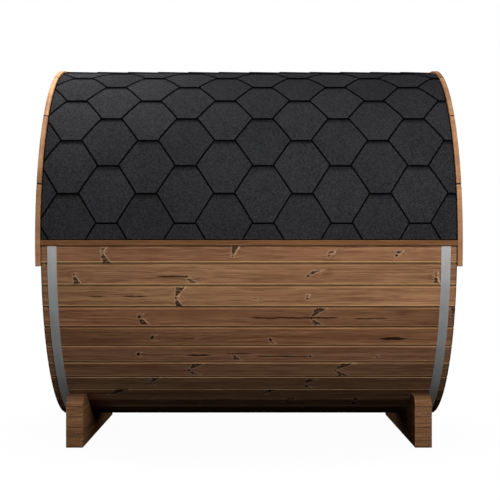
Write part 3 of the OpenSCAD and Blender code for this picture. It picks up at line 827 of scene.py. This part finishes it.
trim_wood = thermowood(
    "planed_pine_trim", on_trim, "#ae845f", "#80583b", "#956a48",
    spread=0.15, whorl_gap=0.0, shade_and_stain=trim_ends, gloss=0.1,
)
batten_wood = thermowood(
    "planed_pine_batten", on_batten, "#7a5538", "#553926", "#63432d", spread=0.1, whorl_gap=0.0
)
frame_wood = thermowood(
    "planed_pine_door_frame", on_door_frame, "#a27a55", "#7a5638", "#8c6443",
    spread=0.15, whorl_gap=0.0,
)
ledge_wood = thermowood(
    "planed_pine_ledges",
    lambda tree: on_strip(tree, "Y", "Z", "X"),
    "#a27a55", "#7a5638", "#8c6443", spread=0.15, whorl_gap=0.0,
)
handle_wood = thermowood(
    "planed_pine_handle",
    lambda tree: on_strip(tree, "Z", "Y", "X"),
    "#b48b64", "#8a6242", "#9c7150", spread=0.15, whorl_gap=0.0,
)
dress(trim_wood, "trim_left_front", "trim_left_back", "trim_right_front", "trim_right_back")
dress(batten_wood, "eave_batten_front", "eave_batten_back")
dress(frame_wood, "door_frame")
dress(ledge_wood, "door_ledges")
dress(handle_wood, "door_handle")


# Shingles: courses of bitumen felt cut into six-sided tabs, faced with dark mineral grit.
# Each course is nailed over the top half of the one below, half a tab to the side.
roof_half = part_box("roof_front")[1].x
roof_butt = 1.012
felt = 0.0035
course = 0.156
tab_pitch = 0.403
tab_low, tab_high = 0.108, 0.295
slot_hidden = 0.008
lap_spare = 0.02
# The black rim round each tab is wider than a real cut edge: bare bitumen and a painted shadow along the
# tab's edges.
shadow_rim_width = 0.008
rim_share = 0.6
touch = 1e-5
eave_rise = 0.006
eave_angle = math.asin(eave_rise / roof_butt)
eave_cover = 0.004
first_course = 0.083
row_shifts = (-0.128, 0.0735)
row_count = 11
tabs_in_row = 8

# Mineral grit is matt and speckled, each tab a little paler or darker than the next. Its grains
# are about 1 mm, too fine for the render, so they are drawn 5 mm apart. A painted shadow darkens the
# grit in the corner where the courses end against the trims, and under the butt of each course.
grit_size, grit_depth = 0.005, 0.001
grit_cloud_count = 3.0
corner_shadow_width, corner_blur = 0.006, 0.001
shingle_grit, grit = bare_material("bitumen_shingle_grit")
grit_spot = put(grit, "TexCoord").outputs["Object"]
grit_grains = put(grit, "TexVoronoi", {"Vector": grit_spot, "Scale": 1 / grit_size})
grit_luck = put(grit, "SeparateColor", {0: grit_grains.outputs["Color"]}).outputs[0]
grit_clouds = put(grit, "TexNoise", {"Vector": grit_spot, "Scale": grit_cloud_count, "Detail": 4.0})
grit_mix = put(grit, "Math", {0: grit_clouds, 1: 0.5, 2: grit_luck}, operation="MULTIPLY_ADD")
grit_share = put(grit, "MapRange", {"Value": grit_mix, "From Max": 1.5})
grit_colour = layered(grit, linear("#151516"), [(grit_share, "#343436")])
grit_tab = put(grit, "Attribute", attribute_name="tab_tone").outputs["Fac"]
grit_lap = put(grit, "Attribute", attribute_name="lap_place").outputs["Fac"]
# Painted shadow: each course is darkened just under the butts of the course two above it.
butt_painted_shadow = put(grit, "MapRange", {
    "Value": grit_lap, "From Min": 1.8, "From Max": 2.0, "To Min": 1.0, "To Max": 0.5,
}, interpolation_type="SMOOTHSTEP")
tab_tone_shadowed = put(grit, "Math", {0: grit_tab, 1: butt_painted_shadow}, operation="MULTIPLY")
# Painted shadow along the ends of the courses, against the trims.
grit_span = put(grit, "Math", {0: piece_place(grit)["X"]}, operation="ABSOLUTE")
corner_from = roof_half - corner_shadow_width
corner_painted_shadow = shaded(grit, [(grit_span, corner_from - corner_blur, corner_from + corner_blur, 1.0, 0.2)])
grit_tone_and_shadows = put(grit, "Math", {0: tab_tone_shadowed, 1: corner_painted_shadow}, operation="MULTIPLY")
grit_finish = put(grit, "BsdfPrincipled", {
    "Base Color": put(grit, "VectorMath", {0: grit_colour, "Scale": grit_tone_and_shadows}, operation="SCALE"),
    "Roughness": 0.95,
    "Specular IOR Level": 0.0,
    "Normal": put(grit, "Bump", {
        "Strength": 0.5, "Distance": grit_depth, "Height": grit_grains.outputs["Distance"],
    }),
})
put(grit, "OutputMaterial", {"Surface": grit_finish})

# Bitumen shows black where the felt was cut, and a little rough, with marks every 6 mm or so.
cut_mark_count = 180.0
cut_bitumen, cut = bare_material("cut_bitumen_edge")
cut_spot = put(cut, "TexCoord").outputs["Object"]
cut_marks = put(cut, "TexNoise", {"Vector": cut_spot, "Scale": cut_mark_count})
cut_finish = put(cut, "BsdfPrincipled", {
    "Base Color": layered(cut, linear("#030303"), [(cut_marks, "#0a0a0b")]),
    "Roughness": 0.85,
    "Specular IOR Level": 0.0,
})
put(cut, "OutputMaterial", {"Surface": cut_finish})


def flat_felt(name, length, width, middle):
    """A flat piece of felt, left in edit mode with all of it selected."""
    bpy.ops.object.select_all(action="DESELECT")
    bpy.ops.mesh.primitive_plane_add(size=1)
    piece = bpy.context.object
    piece.name = name
    bpy.ops.object.mode_set(mode="EDIT")
    bpy.ops.mesh.select_all(action="SELECT")
    bpy.ops.transform.resize(value=(length, width, 1))
    bpy.ops.transform.translate(value=(*middle, 0))
    return piece


def thicken(piece, thickness, rim, bends):
    """Gives flat felt in edit mode its thickness, a sloping rim of bare bitumen, wide enough to stand also
    for the shadow along its edges, and lines to bend at, with grit on its face and bare bitumen elsewhere."""
    rim_low, rim_drop = thickness * rim_share, thickness * (1 - rim_share)
    bpy.ops.mesh.extrude_region_move(TRANSFORM_OT_translate={"value": (0, 0, rim_low)})
    bpy.ops.mesh.inset(thickness=rim, depth=rim_drop, use_even_offset=True)
    bpy.ops.mesh.select_all(action="SELECT")
    bpy.ops.mesh.normals_make_consistent(inside=False)
    for bend in bends:
        bpy.ops.mesh.select_all(action="SELECT")
        bpy.ops.mesh.bisect(plane_co=(0, bend, 0), plane_no=(0, 1, 0))
    bpy.ops.object.mode_set(mode="OBJECT")
    piece.data.materials.append(shingle_grit)
    piece.data.materials.append(cut_bitumen)
    for face in piece.data.polygons:
        on_top = all(piece.data.vertices[i].co.z > thickness - touch for i in face.vertices)
        face.material_index = 0 if on_top else 1


def felt_copy(piece):
    """A copy of a piece of felt, with its own mesh."""
    copied = piece.copy()
    copied.data = piece.data.copy()
    bpy.context.scene.collection.objects.link(copied)
    return copied


def tone_tabs(piece, tone_of):
    """Sets how pale the grit of each face is."""
    tones = piece.data.attributes.new("tab_tone", "FLOAT", "FACE")
    for face in piece.data.polygons:
        tones.data[face.index].value = tone_of(face)


def cut_off(at, outward):
    """Cuts off what lies outside a plane from the felt in edit mode, and closes the cut."""
    bpy.ops.mesh.select_all(action="SELECT")
    bpy.ops.mesh.bisect(plane_co=at, plane_no=outward, clear_outer=True, use_fill=True)


def join_felt(pieces, name):
    """Joins pieces of felt into one."""
    bpy.ops.object.select_all(action="DESELECT")
    for piece in pieces:
        piece.select_set(True)
    bpy.context.view_layer.objects.active = pieces[0]
    bpy.ops.object.join()
    bpy.context.object.name = name
    return bpy.context.object


# The covered upper half of one tab's width, and the tab drawn down from its middle.
half_slope = (tab_high - tab_low) / 2 / course
tab_top = tab_high + 2 * half_slope * slot_hidden
strip_low = course + slot_hidden
strip_high = 2 * course + lap_spare
flat_course = flat_felt(
    "flat_course", tab_pitch, strip_high - strip_low, (0, (strip_low + strip_high) / 2)
)
for side in (-1, 1):
    bpy.ops.mesh.select_all(action="SELECT")
    bpy.ops.mesh.bisect(plane_co=(side * tab_top / 2, 0, 0), plane_no=(1, 0, 0))
bpy.ops.mesh.select_mode(type="EDGE")
bpy.ops.mesh.select_all(action="DESELECT")
bpy.ops.object.mode_set(mode="OBJECT")
for edge in flat_course.data.edges:
    ends = [flat_course.data.vertices[i].co for i in edge.vertices]
    edge.select = all(abs(p.y - strip_low) < touch and abs(p.x) < tab_top / 2 + touch for p in ends)
bpy.ops.object.mode_set(mode="EDIT")
bpy.ops.mesh.extrude_region_move(TRANSFORM_OT_translate={"value": (0, -strip_low, 0)})
bpy.ops.transform.resize(value=(tab_low / tab_top, 1, 1), center_override=(0, 0, 0))
bpy.ops.object.mode_set(mode="OBJECT")

# A row of tabs long enough for either half-tab shift, then its thickness and its dark rim, bitumen and
# painted shadow.
tab_join, bend_shift = 0.0005, 0.0005
row = flat_course.modifiers.new("row", "ARRAY")
row.count = tabs_in_row
row.use_relative_offset = False
row.use_constant_offset = True
row.constant_offset_displace = (tab_pitch, 0, 0)
row.use_merge_vertices = True
row.merge_threshold = tab_join
bpy.ops.object.modifier_apply(modifier="row")
bpy.ops.object.mode_set(mode="EDIT")
bpy.ops.mesh.select_all(action="SELECT")
bpy.ops.transform.translate(value=(-tab_pitch * (tabs_in_row // 2), 0, 0))
thicken(flat_course, felt, shadow_rim_width, [step * course / 4 - bend_shift for step in range(1, 9)])

# Starter strip: a plain strip of the same felt along the eave, under the first course's gaps.
starter_height = 0.12
starter_inner, starter_felt = 1.0017, 0.0030
starter = flat_felt("starter_strip", 2 * roof_half, starter_height, (0, starter_height / 2))
thicken(starter, starter_felt, shadow_rim_width / 2, [step * starter_height / 4 for step in range(1, 4)])

# Tones are handed out by uneven steps, so that none repeats beside itself. Tabs are counted from
# far beyond the left end, so that no number is negative.
tone_count = 60
tabs_before = 100.5
tab_step, row_step, slope_step, cap_step = 7, 13, 5, 11
random.seed(54)
tab_tones = [random.uniform(0.9, 1.1) for i in range(tone_count)]


def lay_courses(name, side, node_name):
    """Lays the courses of one slope, from the eave up, bent to the barrel's round."""
    starter_tone = 0.95
    first = felt_copy(starter)
    tone_tabs(first, lambda face: starter_tone)
    for vertex in first.data.vertices:
        radius = starter_inner + vertex.co.z
        angle = eave_angle + vertex.co.y / roof_butt
        vertex.co.y = side * radius * math.cos(angle)
        vertex.co.z = axis_z + radius * math.sin(angle)
    laid = [first]
    for k in range(row_count + 1):
        shift = row_shifts[k % 2]
        low_angle = eave_angle + (first_course + (k - 1) * course) / roof_butt
        keep_low = (eave_angle - low_angle) * roof_butt + eave_cover
        keep_high = (math.pi / 2 - low_angle) * roof_butt
        piece = felt_copy(flat_course)
        bpy.ops.object.select_all(action="DESELECT")
        piece.select_set(True)
        bpy.context.view_layer.objects.active = piece
        bpy.ops.object.mode_set(mode="EDIT")
        bpy.ops.mesh.select_all(action="SELECT")
        bpy.ops.transform.translate(value=(shift, 0, 0))
        for end in (-1, 1):
            cut_off((end * roof_half, 0, 0), (end, 0, 0))
        if k == 0:
            cut_off((0, keep_low, 0), (0, -1, 0))
        if keep_high < strip_high:
            cut_off((0, keep_high, 0), (0, 1, 0))
        bpy.ops.object.mode_set(mode="OBJECT")
        row_luck = k * row_step + (side > 0) * slope_step
        tone_tabs(piece, lambda face: tab_tones[
            (int((face.center.x - shift) / tab_pitch + tabs_before) * tab_step + row_luck) % tone_count
        ])
        lap_place = piece.data.attributes.new("lap_place", "FLOAT", "POINT")
        for vertex in piece.data.vertices:
            lap_place.data[vertex.index].value = vertex.co.y / course
            lift = felt * (2 - vertex.co.y / course)
            radius = roof_butt - 3 * felt + lift + vertex.co.z
            angle = low_angle + vertex.co.y / roof_butt
            vertex.co.y = side * radius * math.cos(angle)
            vertex.co.z = axis_z + radius * math.sin(angle)
        laid.append(piece)
    slope = join_felt(laid, name)
    bpy.ops.object.mode_set(mode="EDIT")
    bpy.ops.mesh.select_all(action="SELECT")
    bpy.ops.mesh.normals_make_consistent(inside=False)
    bpy.ops.object.mode_set(mode="OBJECT")
    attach(slope, "root")
    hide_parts(node_name)


lay_courses("shingles_front", -1, "roof_front")
lay_courses("shingles_back", 1, "roof_back")
bpy.data.objects.remove(flat_course)
bpy.data.objects.remove(starter)

# Ridge caps: single tabs bent over the top and lapped along it, nailed under each other.
# The same gritted felt as the courses, with the same dark rim of cut bitumen and painted shadow.
cap_width = 0.22
cap_show = 0.1785
cap_length = 1.6 * cap_show
cap_inner = 1.0123
cap_felt = 0.0026
cap_lift = 1.05 * cap_felt
tail_share = 0.2
cap_count = 12
flat_cap = flat_felt("flat_cap", cap_length, cap_width, (cap_length / 2, 0))
thicken(flat_cap, cap_felt, shadow_rim_width, [step * cap_width / 8 for step in range(-3, 4)])
caps = []
for k in range(cap_count):
    cap = felt_copy(flat_cap)
    tone_tabs(cap, lambda face: tab_tones[(k * cap_step) % tone_count])
    for vertex in cap.data.vertices:
        place = -roof_half + k * cap_show + vertex.co.x
        lift = cap_lift * max(0.0, 1 - vertex.co.x / cap_show)
        radius = cap_inner + lift + vertex.co.z * (1 if vertex.co.x < cap_show else tail_share)
        angle = math.pi / 2 + vertex.co.y / cap_inner
        vertex.co = (
            min(place, roof_half),
            -radius * math.cos(angle),
            axis_z + radius * math.sin(angle),
        )
    caps.append(cap)
bpy.data.objects.remove(flat_cap)
ridge = join_felt(caps, "ridge_caps")
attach(ridge, "root")
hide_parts("roof_ridge")
